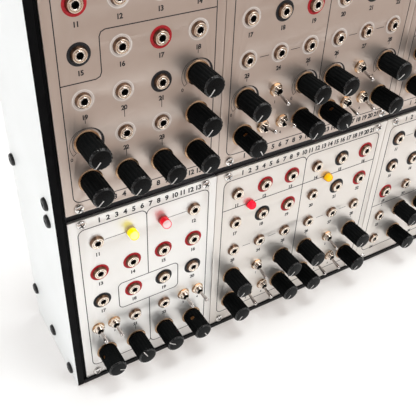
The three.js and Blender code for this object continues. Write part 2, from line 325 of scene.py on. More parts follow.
def joined_values(nodes, links, operation, first, second):
    return added(nodes, links, "Math", {0: first, 1: second}, operation=operation)


def blend(nodes, links, share, first, second):
    """Mix of two colours. The first may be a socket."""
    if isinstance(first, tuple):
        first = (*first, 1)
    colours = {"A": first, "B": (*second, 1), "Factor": share}
    return added(nodes, links, "Mix", colours, "Result", data_type="RGBA")


def bump(nodes, links, value, depth, onto=None):
    """A bump that is depth millimetres tall."""
    inputs = {"Distance": depth * MM, "Height": value}
    if onto is not None:
        inputs["Normal"] = onto
    return added(nodes, links, "Bump", inputs, "Normal")


def finish(name, colour, worn, metallic=0.0, roughness=(0.3, 0.5), cloud=60, grain=3000,
           stretch=(1, 1, 1), depth=0.01, specular=0.5):
    """Principled surface whose colour drifts from colour to worn, with grain in its gloss and height."""
    material, nodes, links, surface = new_nodes(name)
    clouds = stretched_noise(nodes, links, cloud)
    marks = stretched_noise(nodes, links, grain, stretch)
    mixed = blend(nodes, links, spread(nodes, links, clouds, 0, 1), colour, worn)
    links.new(mixed, surface.inputs["Base Color"])
    links.new(spread(nodes, links, marks, *roughness), surface.inputs["Roughness"])
    links.new(bump(nodes, links, marks, depth), surface.inputs["Normal"])
    surface.inputs["Metallic"].default_value = metallic
    surface.inputs["Specular IOR Level"].default_value = specular
    return material


# %% Metals, plastics and inks of this instrument
NICKEL = finish("bright_nickel", (0.93, 0.83, 0.72), (0.82, 0.70, 0.58), 1.0, (0.14, 0.24), 500, 6000)
THREAD = finish("threaded_nickel", (0.95, 0.88, 0.80), (0.84, 0.75, 0.66), 1.0, (0.12, 0.22), 500, 6000)
# The knurled side's dark brown is painted shade and reflection.
KNURL_SHADE = finish("knurl_painted_shade", (0.30, 0.19, 0.13), (0.15, 0.09, 0.06), 1.0, (0.24, 0.38), 500, 6000)
WASHER = finish("warm_plated_washer", (0.52, 0.35, 0.22), (0.36, 0.23, 0.14), 1.0, (0.16, 0.28), 300, 5000)
CHROME = finish("polished_chrome", (0.66, 0.63, 0.61), (0.58, 0.55, 0.53), 1.0, (0.04, 0.10), 400, 3000,
                depth=0.002)
STEEL = finish("plated_steel_screw", (0.86, 0.84, 0.82), (0.70, 0.68, 0.66), 1.0, (0.06, 0.16), 400, 5000)
# The cross recess gets a darker steel: painted shade in the hollow.
RECESS_SHADE = finish("screw_recess_painted_shade", (0.10, 0.09, 0.085), (0.05, 0.045, 0.04), 0.8, (0.3, 0.5), 400, 5000)
BLACK_STEEL = finish("black_oxide_screw", (0.010, 0.010, 0.011), (0.020, 0.020, 0.022), 0.4, (0.3, 0.45),
                     300, 4000)
BORE = finish("dark_socket_bore", (0.004, 0.004, 0.004), (0.009, 0.008, 0.008), 0.0, (0.4, 0.6), specular=0.2)
SHADE_PLASTIC = finish("black_socket_body", (0.015, 0.015, 0.016), (0.028, 0.028, 0.03), 0.0, (0.4, 0.6))
TIN = finish("tinned_lug", (0.70, 0.70, 0.69), (0.55, 0.55, 0.54), 1.0, (0.3, 0.45), 300, 4000)
PHENOLIC = finish("black_phenolic", (0.0036, 0.0042, 0.0046), (0.0062, 0.0068, 0.0070), 0.0, (0.45, 0.60),
                  200, 5000, depth=0.004, specular=0.02)
KNOB_RIM = finish("polished_knob_rim", (0.004, 0.0045, 0.005), (0.008, 0.0085, 0.009), 0.0, (0.17, 0.26),
                  300, 5000, depth=0.002, specular=0.45)
KNOB_END = finish("satin_knob_end", (0.0036, 0.0042, 0.0046), (0.0055, 0.0060, 0.0064), 0.0, (0.24, 0.32),
                  300, 5000, depth=0.002, specular=0.09)
POINTER_INK = finish("white_pointer_ink", (0.74, 0.70, 0.67), (0.58, 0.54, 0.52), 0.0, (0.4, 0.55), 400, 4000)
SHAFT_METAL = finish("turned_shaft", (0.74, 0.72, 0.70), (0.62, 0.60, 0.57), 1.0, (0.2, 0.35), 300, 5000)
GRUB_BRASS = finish("brass_grub_screw", (0.55, 0.30, 0.13), (0.40, 0.20, 0.08), 1.0, (0.25, 0.4), 400, 5000)


def ink(name, colour, worn, roughness):
    return finish(name + "_panel_ink", colour, worn, 0.0, roughness, 600, 6000, specular=0.3)


BLACK_INK = ink("black", (0.012, 0.012, 0.015), (0.024, 0.023, 0.027), (0.45, 0.65))
RED_INK = ink("red", (0.50, 0.007, 0.016), (0.39, 0.006, 0.012), (0.4, 0.6))
WHITE_INK = ink("white", (0.84, 0.77, 0.73), (0.76, 0.69, 0.65), (0.45, 0.6))
PINK_INK = ink("pinkish", (0.70, 0.60, 0.54), (0.64, 0.54, 0.49), (0.45, 0.6))
POWDER = finish("black_powder_coat", (0.005, 0.005, 0.0058), (0.010, 0.010, 0.0115), 0.0, (0.42, 0.62),
                60, 1400, depth=0.02, specular=0.15)
# Black of the strips in the side gaps: painted shade.
GAP_SHADE_BLACK = finish("gap_painted_shade", (0.0016, 0.0016, 0.0018), (0.0034, 0.0034, 0.0038), 0.0, (0.5, 0.65),
                    60, 1400, specular=0.04)
RAIL_BLACK = finish("black_anodised_rail", (0.014, 0.014, 0.017), (0.026, 0.026, 0.030), 0.6, (0.35, 0.5),
                    60, 2500, (0.05, 1, 1))
LAMINATE = finish("white_laminate", (0.90, 0.90, 0.895), (0.87, 0.87, 0.86), 0.0, (0.3, 0.45), 25, 2200,
                  depth=0.008)
CORE = finish("dark_pressed_core", (0.0020, 0.0021, 0.0025), (0.0050, 0.0050, 0.0056), 0.0, (0.4, 0.6),
              150, 1800, (1, 1, 6), 0.02, specular=0.05)
BOARD_GREEN = finish("green_circuit_board", (0.015, 0.10, 0.045), (0.010, 0.075, 0.034), 0.0, (0.25, 0.4),
                     300, 1500)
CHIP = finish("moulded_chip", (0.014, 0.014, 0.015), (0.024, 0.024, 0.025), 0.0, (0.45, 0.6), 300, 5000)
CAPACITOR = finish("capacitor_sleeve", (0.02, 0.06, 0.24), (0.015, 0.045, 0.19), 0.0, (0.3, 0.4), 300, 3000)
print("finishes:", len(bpy.data.materials))

# %% [markdown]
# ## Satin aluminium for the fronts
# The fronts are anodised sheet: a metal mirror with its gloss broken by very fine etching, so they
# pick up the pale table below and the darker room further off as one soft gradient. The upright
# rolling direction of the sheet is faintly visible. Nearly full metal with middling roughness gives
# that gradient by itself. Painting it into the colour would be wrong from every other side. Still,
# the recipe is called three times: pale for the lower left front, and two darker copies of the same
# metal with painted shade, one for the lower middle and right fronts and a warm one for the upper ones.

# %% Front aluminium
def front_aluminium(name, pale, deep):
    material, nodes, links, surface = new_nodes(name)
    rolled = stretched_noise(nodes, links, 1500, (1, 1, 0.03))
    etched = stretched_noise(nodes, links, 9000)
    clouds = stretched_noise(nodes, links, 25)
    mixed = blend(nodes, links, spread(nodes, links, clouds, 0, 1), pale, deep)
    links.new(mixed, surface.inputs["Base Color"])
    links.new(spread(nodes, links, etched, 0.36, 0.42), surface.inputs["Roughness"])
    fine = bump(nodes, links, rolled, 0.0012)
    links.new(bump(nodes, links, etched, 0.0012, fine), surface.inputs["Normal"])
    surface.inputs["Metallic"].default_value = 0.85
    return material


PALE_FRONT = front_aluminium("pale_anodised_front", (0.865, 0.85, 0.83), (0.84, 0.82, 0.795))
# The two copies below are one metal made darker, which is painted shade: the lower middle and right fronts
# for the knobs' shadows, the upper fronts also warmer for the room that they mirror.
LOWER_SHADED_FRONT = front_aluminium("dull_anodised_front", (0.79, 0.75, 0.71), (0.765, 0.72, 0.675))
UPPER_SHADED_FRONT = front_aluminium("warm_anodised_front", (0.65, 0.565, 0.51), (0.60, 0.51, 0.455))
FRONT_METALS = {"lower_left": PALE_FRONT, "lower_middle": LOWER_SHADED_FRONT, "lower_right": LOWER_SHADED_FRONT}
print("front finishes:", PALE_FRONT.name, LOWER_SHADED_FRONT.name, UPPER_SHADED_FRONT.name)

# %% [markdown]
# ## Front plates
# Each front is a 2 mm plate with a hole for every fitting and oval slots for its four screws. Cutting
# nearly forty holes with booleans is slow and leaves poor faces. A flat curve with the holes as
# further closed splines fills itself, and its own bevel breaks the edges by a fifth of a millimetre.

# %% Plates with holes
EDGE_BREAK = 0.2
SCREW_INSET = 7.5
SCREW_FROM_EDGE = 3.0
LAMP_HOLE, SOCKET_HOLE, SHAFT_HOLE, SWITCH_HOLE = 2.55, 3.1, 3.7, 3.1
SLOT_RADIUS, SLOT_STRETCH = 1.6, 0.9


def screw_places(module):
    far = SCREW_INSET + (units(module) - 3) * UNIT
    return [(x, z) for x in (SCREW_INSET, far) for z in (SCREW_FROM_EDGE, FRONT_HEIGHT - SCREW_FROM_EDGE)]


def lamp_places(module):
    """Lamps with their colour: in the layout, or between the top rows of the middle fronts."""
    if "middle" in module:
        between = row(0) - ROW_STEP / 2
        return [(column(c) + COLUMN_STEP / 2, between, colour) for c, colour in ((0, "R"), (3, "Y"))]
    return letters(module, "YR")


def round_path(x, z, radius, count=28, stretch=0.0):
    """Points of a circle in mm, or of a slot if it is stretched along x."""
    points = []
    for step in range(count):
        angle = 2 * pi * (step + 0.5) / count
        side = stretch if cos(angle) > 0 else -stretch
        points.append((x + radius * cos(angle) + side, z + radius * sin(angle)))
    return points


def rounded_box_path(x0, z0, x1, z1, radius, steps=5):
    points = []
    left, right, low, high = x0 + radius, x1 - radius, z0 + radius, z1 - radius
    turns = [(right, low, -90), (right, high, 0), (left, high, 90), (left, low, 180)]
    for x, z, start in turns:
        for step in range(steps + 1):
            angle = radians(start + 90 * step / steps)
            points.append((x + radius * cos(angle), z + radius * sin(angle)))
    return points


def plate(name, paths, thickness, finishes, edge=EDGE_BREAK):
    """A plate in the XZ plane from closed paths in mm, the first one outside and the rest holes."""
    curve = bpy.data.curves.new(name, "CURVE")
    curve.dimensions = "2D"
    curve.fill_mode = "BOTH"
    curve.extrude = (thickness / 2 - edge) * MM
    curve.bevel_depth = edge * MM
    curve.bevel_resolution = 2
    curve.offset = -edge * MM
    for path in paths:
        spline = curve.splines.new("POLY")
        spline.points.add(len(path) - 1)
        for point, (x, z) in zip(spline.points, path):
            point.co = (x * MM, z * MM, 0, 1)
        spline.use_cyclic_u = True
    holder = linked(name, curve)
    made = evaluated(holder)
    bpy.data.objects.remove(holder)
    bm = bmesh.new()
    bm.from_mesh(made)
    bmesh.ops.remove_doubles(bm, verts=bm.verts, dist=0.001 * MM)
    bmesh.ops.transform(bm, matrix=Matrix.Rotation(pi / 2, 4, "X"), verts=bm.verts)
    return to_mesh(bm, name, finishes, 25)


for module in MODULES:
    outline = rounded_box_path(0, 0, width(module), FRONT_HEIGHT, 0.5, 2)
    holes = [round_path(x, z, SOCKET_HOLE) for x, z, _ in letters(module, "ork")]
    holes += [round_path(x, z, SHAFT_HOLE) for _, x, z in jointed(module, "knob")]
    holes += [round_path(x, z, SWITCH_HOLE) for _, x, z in jointed(module, "toggle")]
    holes += [round_path(x, z, LAMP_HOLE) for x, z, _ in lamp_places(module)]
    holes += [round_path(x, z, SLOT_RADIUS, 20, SLOT_STRETCH) for x, z in screw_places(module)]
    name = module + "_front_plate"
    mesh = plate(name, [outline, *holes], FRONT_THICKNESS, [FRONT_METALS.get(module, UPPER_SHADED_FRONT)])
    made = piece(name, mesh, matrix=on_front(module, 0, 0, FRONT_THICKNESS / 2))
    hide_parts(module + "_module")
print("front plate faces:", len(mesh.polygons))

# %% [markdown]
# ## Patch sockets
# A socket is a threaded bushing that comes through the front, held by a round nut, with a dark bore
# for the 3.5 mm plug and a small moulded body behind. The nut's tapered, knurled side gets a dark
# brown finish of its own, which is painted shade and reflection, while its face and the flat bushing
# stay bright. The knurl is made by moving every second point of the side inwards.

# %% Socket pattern
NUT_RADIUS, NUT_FACE, NUT_HEIGHT = 4.25, 3.5, 1.7
BUSHING_FRONT, BUSHING_BACK = -2.0, 2.2
BORE_RADIUS, BORE_END = 1.72, 7.0
KNURL_DEPTH = 0.12
WELD = 0.0005 * MM


def knurl(angle, radius, depth):
    ridge = round(angle * 24 / pi) % 2
    return (radius - KNURL_DEPTH * ridge if radius > NUT_FACE else radius), depth


def socket_pattern():
    bm = bmesh.new()
    top = -NUT_HEIGHT
    rim = NUT_RADIUS
    side = [(2.7, -0.02), (rim, -0.02), (rim, -0.2), (NUT_FACE + 0.1, top + 0.14), (NUT_FACE, top)]
    face = [(NUT_FACE, top), (NUT_FACE - 0.12, top - 0.07), (NUT_FACE - 0.28, top - 0.1),
            (2.8, top - 0.1), (2.7, top + 0.04), (2.7, -0.02)]
    # Finish 2 paints the knurled side dark brown: painted shade.
    lathe(bm, side, 48, 2, shape=knurl)
    lathe(bm, face, 48, 0)
    bmesh.ops.remove_doubles(bm, verts=bm.verts, dist=WELD)
    front = BUSHING_FRONT
    thread = [(BORE_RADIUS + 0.02, front + 0.35), (1.78, front + 0.2), (1.9, front + 0.08),
              (2.06, front + 0.01), (2.22, front), (2.4, front + 0.05), (2.53, front + 0.15),
              (2.6, front + 0.28)]
    for turn in range(4):
        thread += [(2.6, front + 0.32 + turn * 0.5), (2.42, front + 0.55 + turn * 0.5)]
    thread += [(2.6, 0.6), (2.6, BUSHING_BACK), (BORE_RADIUS + 0.02, BUSHING_BACK)]
    lathe(bm, thread, 32, 1, closed=True)
    bore = [(0, BORE_END), (BORE_RADIUS, BORE_END), (BORE_RADIUS, front + 0.45),
            (BORE_RADIUS + 0.12, front + 0.5), (BORE_RADIUS + 0.12, BORE_END + 0.12), (0, BORE_END + 0.12)]
    lathe(bm, bore, 24, 3)
    brick(bm, (-4.4, 2.05, -5.6), (4.4, 10.4, 4.4), 4, 0.4)
    for x, z in ((0, -5.0), (-3.2, -3.6), (3.2, -3.6)):
        brick(bm, (x - 0.5, 10.2, z - 0.15), (x + 0.5, 13.4, z + 0.15), 5)
    return to_mesh(bm, "socket_pattern", [NICKEL, THREAD, KNURL_SHADE, BORE, SHADE_PLASTIC, TIN])


socket = socket_pattern()
for module in MODULES:
    places = [on_front(module, x, z) for x, z, _ in letters(module, "ork")]
    gathered(module + "_patch_sockets", socket, places)
print("faces of one socket:", len(socket.polygons))

# %% [markdown]
# ## What holds the knobs and toggles
# Behind each knob sit a plated washer and a hexagon nut on the potentiometer's bushing. A turned nut
# has its corners cut by a cone, which draws a scallop on every flat. That curve is simply where a
# cone meets six planes, so the lathe makes it if the ring's depth follows its radius.

# %% Nuts, washers and bodies behind the front
def flats(angle, apothem):
    """Distance from the middle to the side of a hexagon, at an angle."""
    return apothem / cos((angle + pi / 6) % (pi / 3) - pi / 6)


def hexagon_nut(bm, apothem, bore, front, back):
    def shape(angle, radius, depth):
        if radius < apothem * 0.99:
            return radius, depth
        reach = flats(angle, apothem)
        slope = tan(radians(28)) if depth < back - 0.05 else 0
        return reach, depth + (reach - apothem * 0.97) * slope

    profile = [(bore, back), (apothem, back), (apothem, front), (apothem * 0.96, front),
               (bore + 0.25, front), (bore, front + 0.25)]
    lathe(bm, profile, 48, closed=True, shape=shape)


def threaded_bushing(bm, radius, bore, front, back, pitch):
    thread = [(bore, front + 0.1), (bore + 0.12, front), (radius - 0.25, front),
              (radius - 0.12, front + 0.12)]
    depth = front + 0.3
    while depth < -0.2:
        thread += [(radius, depth), (radius - 0.17, depth + pitch / 2)]
        depth += pitch
    thread += [(radius, 0.0), (radius, back), (bore, back)]
    lathe(bm, thread, 32, 1, closed=True)


def control_mount_pattern():
    bm = bmesh.new()
    washer = [(3.6, -0.02), (6.6, -0.02), (6.75, -0.12), (6.7, -0.28), (6.25, -0.52), (3.6, -0.52)]
    lathe(bm, washer, 48, 2, closed=True)
    hexagon_nut(bm, 4.3, 3.5, -2.1, -0.52)
    threaded_bushing(bm, 3.45, 3.12, -2.5, 3.0, 0.6)
    brick(bm, (-4.9, 2.6, -4.9), (4.9, 8.9, 4.9), 3, 0.5)
    brick(bm, (-5.1, 2.05, -5.1), (5.1, 2.75, 5.1), 4, 0.15, 1)
    for x in (-2.5, 0.0, 2.5):
        brick(bm, (x - 0.4, 8.0, -6.2), (x + 0.4, 13.2, -5.9), 4)
        brick(bm, (x - 0.4, 8.0, -6.2), (x + 0.4, 8.3, -4.8), 4)
    return to_mesh(bm, "control_mount_pattern", [NICKEL, THREAD, WASHER, SHADE_PLASTIC, TIN])


def switch_mount_pattern():
    bm = bmesh.new()
    lathe(bm, [(2.7, 0.0), (4.1, 0.0), (4.1, -0.2), (4.0, -0.3), (2.7, -0.3)], 40, 2, closed=True)
    hexagon_nut(bm, 3.25, 2.55, -1.75, -0.3)
    threaded_bushing(bm, 2.5, 2.02, -3.8, 2.4, 0.5)
    lathe(bm, [(2.0, -3.5), (1.95, -3.4), (1.9, 2.0), (0, 2.2), (0, 2.5), (2.02, 2.5)], 24, 3)
    brick(bm, (-3.2, 2.2, -5.4), (3.2, 10.2, 5.4), 4, 0.4)
    for z in (-3.6, 0.0, 3.6):
        brick(bm, (-0.9, 10.0, z - 0.2), (0.9, 13.4, z + 0.2), 5)
    return to_mesh(bm, "switch_mount_pattern", [NICKEL, THREAD, WASHER, BORE, SHADE_PLASTIC, TIN])


control_mount, switch_mount = control_mount_pattern(), switch_mount_pattern()
for module in MODULES:
    gathered(module + "_control_mounts", control_mount, places_of(module, "knob"))
    if jointed(module, "toggle"):
        gathered(module + "_switch_mounts", switch_mount, places_of(module, "toggle"))
print("faces of one control mount:", len(control_mount.polygons))

# %% [markdown]
# ## Fluted knobs
# The knobs are pressed from phenolic: eighteen shallow flutes for the fingers, a polished chamfer, a
# duller end that is crowned by a third of a millimetre, and one thin white line from near the middle
# over the chamfer. The crown matters: a flat end would mirror one spot, this one mirrors a gradient.
# A brass grub screw in the side, opposite the line, clamps the shaft. The flutes are a wave on the
# lathe's rings that dies away at both ends. Its own joint says where each knob points at rest.

# %% Knob profile
KNOB_RADIUS, KNOB_BASE, KNOB_TIP, KNOB_CHAMFER = 6.0, -1.2, -17.4, 0.95
KNOB_HOLLOW_RADIUS, KNOB_HOLLOW = 5.3, 2.4
KNOB_CROWN = [(4.5, 0.06), (3.4, 0.17), (2.3, 0.25), (1.1, 0.3), (0, 0.32)]
FLUTES, FLUTE_STEPS, FLUTE_DEPTH = 18, 6, 0.3
GRUB_DEPTH, GRUB_RADIUS = -6.3, 1.45
SHAFT_RADIUS, SHAFT_REACH = 3.0, 9.2


def fluted(angle, radius, depth):
    """Moves the wall of the knob in where a flute runs."""
    if radius < KNOB_RADIUS - 0.3:
        return radius, depth
    along = (angle * FLUTES / (2 * pi) + 0.17) % 1.0
    groove = sin(pi * (along - 0.34) / 0.66) if along > 0.34 else 0.0
    fade = min(1.0, max(0.0, (KNOB_BASE - depth - 0.9) / 0.8))
    return radius - FLUTE_DEPTH * groove * fade, depth


def tube(bm, pairs, finish_index):
    """Four walls between each ring of four points and the next."""
    for near, far in pairs:
        for i in range(4):
            after = (i + 1) % 4
            bm.faces.new((near[i], near[after], far[after], far[i])).material_index = finish_index


def inlay(bm, path, line_width, lift, sink, finish_index):
    """A thin line over (height, depth) points in the YZ plane, from the middle of a face outwards."""
    rings = []
    for index, (z, y) in enumerate(path):
        before, after = path[max(0, index - 1)], path[min(len(path) - 1, index + 1)]
        along = Vector((after[0] - before[0], after[1] - before[1])).normalized()
        out = Vector((along.y, -along.x))
        ring = []
        for side, reach in ((-1, lift), (1, lift), (1, -sink), (-1, -sink)):
            across, depth, height = side * line_width / 2, y + out.y * reach, z + out.x * reach
            ring.append(bm.verts.new((across * MM, depth * MM, height * MM)))
        rings.append(ring)
    tube(bm, zip(rings, rings[1:]), finish_index)
    bm.faces.new(rings[0]).material_index = finish_index
    bm.faces.new(list(reversed(rings[-1]))).material_index = finish_index


def cut(mesh, cutter_mesh):
    """The first mesh less the second one, by an exact boolean."""
    body, tool = linked("body", mesh), linked("tool", cutter_mesh)
    modifier = body.modifiers.new("cut", "BOOLEAN")
    modifier.operation, modifier.solver, modifier.object = "DIFFERENCE", "EXACT", tool
    result = evaluated(body)
    bpy.data.objects.remove(body)
    bpy.data.objects.remove(tool)
    return result


# %% Knob pattern
KNOB_FINISHES = [PHENOLIC, KNOB_END, POINTER_INK, SHAFT_METAL, GRUB_BRASS, KNOB_RIM]


def turned_knob():
    """The knob without its grub hole: hollow base, fluted wall, chamfer, end face."""
    bm = bmesh.new()
    r, tip, base, around = KNOB_RADIUS, KNOB_TIP, KNOB_BASE, FLUTES * FLUTE_STEPS
    hollow_end = base - KNOB_HOLLOW
    bore, bore_end = SHAFT_RADIUS + 0.06, base - 9.5
    shoulder = tip + KNOB_CHAMFER
    wall = [(KNOB_HOLLOW_RADIUS, hollow_end), (KNOB_HOLLOW_RADIUS, base), (5.75, base), (r, base - 0.25),
            (r, base - 0.9), (r, base - 1.3), (r, base - 1.8), (r, shoulder + 0.15)]
    rim = [(r, shoulder + 0.15), (r - 0.04, shoulder - 0.08), (r - KNOB_CHAMFER + 0.1, tip + 0.1),
           (r - KNOB_CHAMFER - 0.08, tip)]
    face = [(r - KNOB_CHAMFER - 0.08, tip), *[(radius, tip - rise) for radius, rise in KNOB_CROWN]]
    inside = [(KNOB_HOLLOW_RADIUS, hollow_end), (bore, hollow_end), (bore, bore_end), (0, bore_end)]
    lathe(bm, wall, around, 0, shape=fluted)
    lathe(bm, rim, around, 5, shape=fluted)
    lathe(bm, face, around, 1)
    lathe(bm, inside, around, 0)
    bmesh.ops.remove_doubles(bm, verts=bm.verts, dist=WELD)
    return to_mesh(bm, "knob_turned", KNOB_FINISHES)


def knob_pattern():
    down = Matrix.Translation((0, GRUB_DEPTH * MM, 0)) @ Matrix.Rotation(-pi / 2, 4, "X")
    hole = bmesh.new()
    lathe(hole, [(0, 3.3), (GRUB_RADIUS + 0.1, 3.3), (GRUB_RADIUS + 0.1, 7.0), (0, 7.0)], 24)
    bmesh.ops.transform(hole, matrix=down, verts=hole.verts)
    drilled = cut(turned_knob(), to_mesh(hole, "knob_hole", [PHENOLIC]))
    bm = bmesh.new()
    grub = [(0, 3.1), (GRUB_RADIUS, 3.1), (GRUB_RADIUS, 4.7), (GRUB_RADIUS - 0.15, 4.85), (0.6, 4.85),
            (0.6, 4.3), (0, 4.3)]
    lathe(bm, grub, 12, 4)
    bmesh.ops.transform(bm, matrix=down, verts=bm.verts)
    bm.from_mesh(drilled)
    shaft_end = KNOB_BASE - SHAFT_REACH
    lathe(bm, [(0, shaft_end), (SHAFT_RADIUS, shaft_end), (SHAFT_RADIUS, 5.5), (0, 5.5)], 24, 3)
    r, tip = KNOB_RADIUS, KNOB_TIP
    crown = [(radius, tip - rise) for radius, rise in reversed(KNOB_CROWN[:-1])]
    line = [*crown, (r - KNOB_CHAMFER - 0.08, tip), (r - 0.2, tip + KNOB_CHAMFER - 0.24)]
    inlay(bm, line, line_width=0.55, lift=0.04, sink=0.08, finish_index=2)
    return to_mesh(bm, "knob_pattern", KNOB_FINISHES, 28)


on_joints("knob", "fluted_knob", knob_pattern(), "Y", FRONT_PLANE)

# %% [markdown]
# ## Bat levers
# A toggle's lever is a slim chromed bat that thickens to a rounded tip and ends in a ball inside the
# bushing. Its joint gives the pivot, and the middle of the joint's range says how far it leans.

# %% Lever pattern
LEVER_LENGTH, LEVER_TIP_RADIUS, LEVER_NECK_RADIUS, LEVER_BALL = 14.0, 1.28, 0.78, 1.6


def lever_pattern():
    tip = -LEVER_LENGTH
    profile = [(0, tip)]
    for step in range(1, 7):
        angle = step * pi / 12
        profile.append((LEVER_TIP_RADIUS * sin(angle), tip + LEVER_TIP_RADIUS * (1 - cos(angle))))
    profile += [(1.2, tip + 3.0), (1.05, tip + 5.5), (0.88, tip + 8.0), (LEVER_NECK_RADIUS, -3.6),
                (0.82, -1.9)]
    for step in range(3, 13):
        angle = step * pi / 12
        profile.append((max(0.0, LEVER_BALL * sin(angle)) if step < 12 else 0, -LEVER_BALL * cos(angle)))
    return turned("lever_pattern", profile, 24, [CHROME], 50)


on_joints("toggle", "bat_lever", lever_pattern(), "X")

# %% [markdown]
# ## Lamps
# Each lamp is a 5.7 mm lens with a flange on the front. The long ones have a clear dome: lit, they are
# most saturated in the body, dim at the foot, and the dome is pale with a tinted outline, because
# clear resin bends its edge towards the glow. A colour ramp along the depth and a facing mix do that
# from every side, without a glass that would be slow and noisy. The two upper ones are dark.

# %% Lamp finish
LONG_LAMP, SHORT_LAMP, LENS_RADIUS = 7.4, 4.5, 2.85


def lamp_finish(name, foot, body, dome, edge, glow, length, outline_from=0.6):
    material, nodes, links, surface = new_nodes(name)
    place = added(nodes, links, "TexCoord", {}, "Object")
    depth_there = added(nodes, links, "SeparateXYZ", {"Vector": place}, "Y")
    depth = mapped(nodes, links, depth_there, FRONT_PLANE, FRONT_PLANE - length * MM)
    ramp = nodes.new("ShaderNodeValToRGB")
    stops = [(0.0, foot), (0.14, foot), (0.24, body), (0.62, body), (0.70, dome)]
    while len(ramp.color_ramp.elements) < len(stops):
        ramp.color_ramp.elements.new(0.5)
    for element, (position, colour) in zip(ramp.color_ramp.elements, stops):
        element.position, element.color = position, (*colour, 1)
    links.new(depth, ramp.inputs["Fac"])
    facing = added(nodes, links, "LayerWeight", {"Blend": 0.5}, "Facing")
    outline = mapped(nodes, links, facing, 0.30, 0.60)
    on_dome = mapped(nodes, links, depth, outline_from, outline_from + 0.1)
    edge_share = joined_values(nodes, links, "MULTIPLY", outline, on_dome)
    mixed = blend(nodes, links, edge_share, ramp.outputs["Color"], edge)
    links.new(mixed, surface.inputs["Base Color"])
    links.new(mixed, surface.inputs["Emission Color"])
    haze = stretched_noise(nodes, links, 3000)
    links.new(spread(nodes, links, haze, 0.05, 0.12), surface.inputs["Roughness"])
    surface.inputs["Emission Strength"].default_value = glow
    surface.inputs["Specular IOR Level"].default_value = 0.25
    return material


# %% Lamp colours and pieces
RED, YELLOW, AMBER = (1.0, 0.012, 0.04), (1.0, 0.86, 0.0), (0.95, 0.50, 0.004)
LAMPS = {
    "lower_left_R": lamp_finish("clear_lit_red_lamp", (0.30, 0.03, 0.03), (0.85, 0.01, 0.025),
                                (0.90, 0.66, 0.66), (0.75, 0.06, 0.09), 0.32, LONG_LAMP),
    "lower_left_Y": lamp_finish("clear_lit_yellow_lamp", (0.36, 0.26, 0.08), YELLOW, (0.95, 0.86, 0.28),
                                (0.95, 0.70, 0.0), 0.42, LONG_LAMP),
    "lower_middle_R": lamp_finish("lit_red_lamp", (0.40, 0.005, 0.015), RED, RED, (0.60, 0.003, 0.015),
                                  0.45, SHORT_LAMP, 0.1),
    "lower_middle_Y": lamp_finish("lit_amber_lamp", (0.40, 0.20, 0.01), AMBER, (0.95, 0.54, 0.006),
                                  (0.62, 0.27, 0.0), 0.40, SHORT_LAMP, 0.1),
    "upper_middle_R": lamp_finish("dark_red_lamp", (0.30, 0.02, 0.03), (0.42, 0.02, 0.03),
                                  (0.5, 0.05, 0.06), (0.25, 0.01, 0.02), 0.0, SHORT_LAMP),
    "upper_middle_Y": lamp_finish("dark_amber_lamp", (0.40, 0.22, 0.02), (0.60, 0.34, 0.02),
                                  (0.65, 0.40, 0.06), (0.40, 0.20, 0.01), 0.0, SHORT_LAMP),
}
DOME_HEIGHT = 2.5


def lamp_mesh(name, material, length):
    dome = []
    for step in range(6):
        angle = radians(15 * step)
        dome.append((LENS_RADIUS * cos(angle), DOME_HEIGHT - length - DOME_HEIGHT * sin(angle)))
    bm = bmesh.new()
    lathe(bm, [(0, 3.0), (2.45, 3.0), (2.45, -0.05), (3.0, -0.05), (3.0, -0.6), (2.85, -0.75),
               (LENS_RADIUS, -0.8), *dome, (0, -length)], 28, 0)
    brick(bm, (-1.5, 2.8, -0.25), (-1.0, 12.0, 0.25), 1)
    brick(bm, (1.0, 2.8, -0.25), (1.5, 12.0, 0.25), 1)
    return to_mesh(bm, name, [material, TIN], 40)


for module in MODULES:
    length = LONG_LAMP if module == "lower_left" else SHORT_LAMP
    for x, z, letter in lamp_places(module):
        name = module + {"R": "_red", "Y": "_yellow"}[letter] + "_lamp"
        mesh = lamp_mesh(name, LAMPS[f"{module}_{letter}"], length)
        mesh.transform(on_front(module, x, z))
        piece(name, mesh)
print("lamps:", sum(len(lamp_places(module)) for module in MODULES))

# %% [markdown]
# ## Screws
# The fronts hang on plated pan-head screws with a cross recess. The cheeks are held by black socket
# screws. Both heads are turned forms with a recess cut by booleans, copied to every place.

# %% Screw patterns
def recess(half_width, half_height):
    """A block that cuts one bar of a cross into a screw's head."""
    bm = bmesh.new()
    brick(bm, (-half_width, -3.0, -half_height), (half_width, -0.5, half_height))
    # The cut faces take this dark finish: painted shade in the recess.
    return to_mesh(bm, "recess", [RECESS_SHADE])


def cross_screw_pattern():
    dome = [(2.75 * sin(radians(a)), -0.55 - 1.05 * cos(radians(a))) for a in range(15, 91, 15)]
    profile = [(0, -1.6), *dome, (2.7, -0.02), (1.45, 0.0), (1.45, 6.4), (0, 6.8)]
    head = turned("screw_head", profile, 32, [STEEL, RECESS_SHADE])
    cross = cut(cut(head, recess(1.75, 0.38)), recess(0.38, 1.75))
    cross.shade_smooth()
    return cross


def socket_screw_pattern():
    """Black pan head 7.6 mm across, with a hexagon socket. It looks out of a cheek along -Y."""
    head = turned("cheek_screw_head", [(0, -1.9), (2.3, -1.9), (3.0, -1.75), (3.55, -1.3), (3.8, -0.7),
                                       (3.8, -0.2), (3.65, 0), (1.5, 0), (1.5, 6), (0, 6)], 32, [BLACK_STEEL])
    return cut(head, turned("hexagon", [(0, -3), (1.35, -3), (1.35, -0.6), (0, -0.3)], 6, []))


cross_screw, socket_screw = cross_screw_pattern(), socket_screw_pattern()
for module in MODULES:
    places = []
    for index, (x, z) in enumerate(screw_places(module)):
        turn = radians(23 + 31 * index + len(module))
        places.append(on_front(module, x, z) @ Matrix.Rotation(turn, 4, "Y"))
    gathered(module + "_front_screws", cross_screw, places)
print("faces of a front screw:", len(cross_screw.polygons), "of a cheek screw:", len(socket_screw.polygons))

